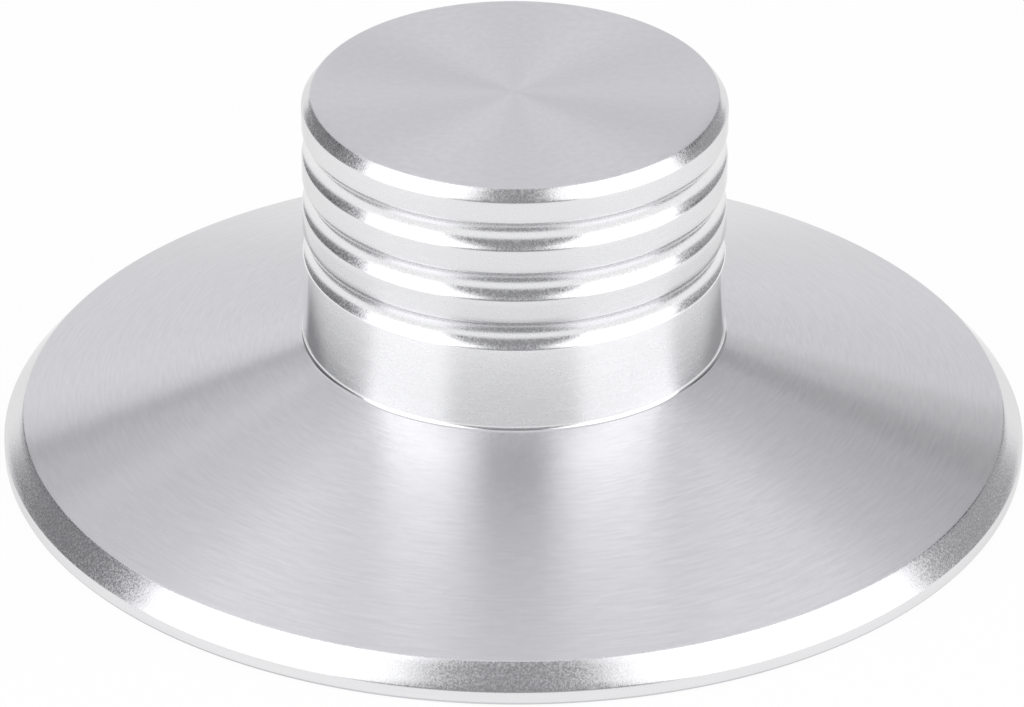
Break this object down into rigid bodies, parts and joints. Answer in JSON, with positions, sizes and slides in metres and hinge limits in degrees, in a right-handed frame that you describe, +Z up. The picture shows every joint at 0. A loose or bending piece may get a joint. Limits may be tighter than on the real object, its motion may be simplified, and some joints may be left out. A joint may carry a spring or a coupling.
{
  "type": "record weight clamp",
  "caption": "Turned aluminium record weight: a knob with finger grooves on a shallow cone with a bevelled rim, and a blind bore below for a turntable spindle.",
  "frame": {"origin": "centre of the resting face, on the turning axis", "axes": "+Z up along the turning axis, from the resting face to the knob's flat top; X and Y lie across it"},
  "size_m": [0.078, 0.078, 0.0296],
  "materials": {
    "turned_aluminium": "bare metal, finely turned, with satin bevels"
  },
  "bodies": {
    "root": {"weight_body": "turned_aluminium"}
  },
  "joints": []
}
